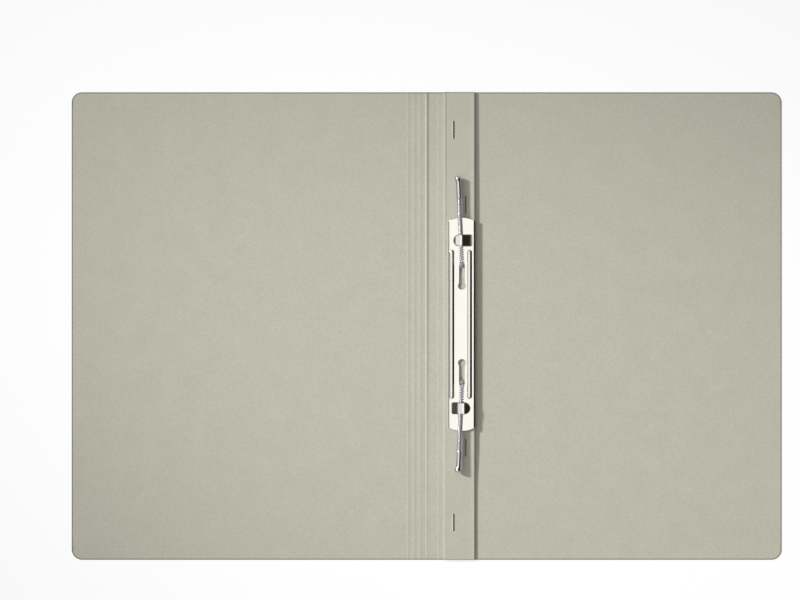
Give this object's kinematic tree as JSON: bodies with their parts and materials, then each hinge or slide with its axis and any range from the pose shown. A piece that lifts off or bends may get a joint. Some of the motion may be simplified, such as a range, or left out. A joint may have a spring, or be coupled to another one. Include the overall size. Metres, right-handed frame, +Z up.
{
  "type": "fastener folder",
  "caption": "Card folder lying open, with a pleat along its spine that carries a plated bar with hooks, held by spring-wire prongs that file punched sheets.",
  "frame": {"origin": "on the table under the middle of the open folder", "axes": "+X from the front cover to the back cover, +Y along the spine towards the covers' top edge, +Z up from the table, towards the inside of the open folder"},
  "size_m": [0.4854, 0.3194, 0.0095],
  "materials": {
    "card": "uncoated grey-beige folder card with a fine fibre speckle",
    "rail_steel": "plain cold-rolled steel",
    "spring_wire": "bright nickel-plated spring wire",
    "ferrule_steel": "bright nickel-plated turned steel",
    "plated_bar": "bright nickel-plated pressed sheet steel"
  },
  "bodies": {
    "back": {"back_cover": "card"},
    "hinge": {"hinge_panel": "card"},
    "spine": {"spine_panel": "card"},
    "front": {"front_cover": "card"},
    "strip": {"fastener_strip": "card", "base_rail": "rail_steel", "upper_rivet": "rail_steel", "lower_rivet": "rail_steel"},
    "bar": {"cover_bar": "plated_bar"},
    "upper_prong": {"upper_coil": "spring_wire", "upper_tip": "ferrule_steel"},
    "lower_prong": {"lower_coil": "spring_wire", "lower_tip": "ferrule_steel"}
  },
  "joints": [
    {"name": "back_fold", "type": "hinge", "parent": "back", "child": "hinge", "pos_m": [0.01165, 0, 0.00045], "axis": [0, 1, 0], "range_deg": [0, 60]},
    {"name": "spine_fold", "type": "hinge", "parent": "hinge", "child": "spine", "pos_m": [0.00845, 0, 0.00045], "axis": [0, 1, 0], "range_deg": [0, 30]},
    {"name": "cover_fold", "type": "hinge", "parent": "spine", "child": "front", "pos_m": [0.00035, 0, 0.00045], "axis": [0, 1, 0], "range_deg": [0, 90]},
    {"name": "strip_lift", "type": "hinge", "parent": "back", "child": "strip", "pos_m": [0.01165, 0, 0.00045], "axis": [0, 1, 0], "range_deg": [-90, 0]},
    {"name": "bar_lift", "type": "slide", "parent": "strip", "child": "bar", "axis": [0, 0, -1], "range_m": [-0.11, 0]},
    {"name": "upper_prong_swing", "type": "hinge", "parent": "strip", "child": "upper_prong", "pos_m": [0.02392, 0.04188, 0.00612], "axis": [-0.9991, -0.0419, 0], "range_deg": [-90, 0], "deforming": ["upper_coil"]},
    {"name": "lower_prong_swing", "type": "hinge", "parent": "strip", "child": "lower_prong", "pos_m": [0.02392, -0.03948, 0.00612], "axis": [0.9991, -0.0419, 0], "range_deg": [-90, 0], "deforming": ["lower_coil"]}
  ],
  "couplings": [
    {"joint": "upper_prong_swing", "follows": "bar_lift", "rad_per_m": 14.28},
    {"joint": "lower_prong_swing", "follows": "bar_lift", "rad_per_m": 14.28}
  ]
}
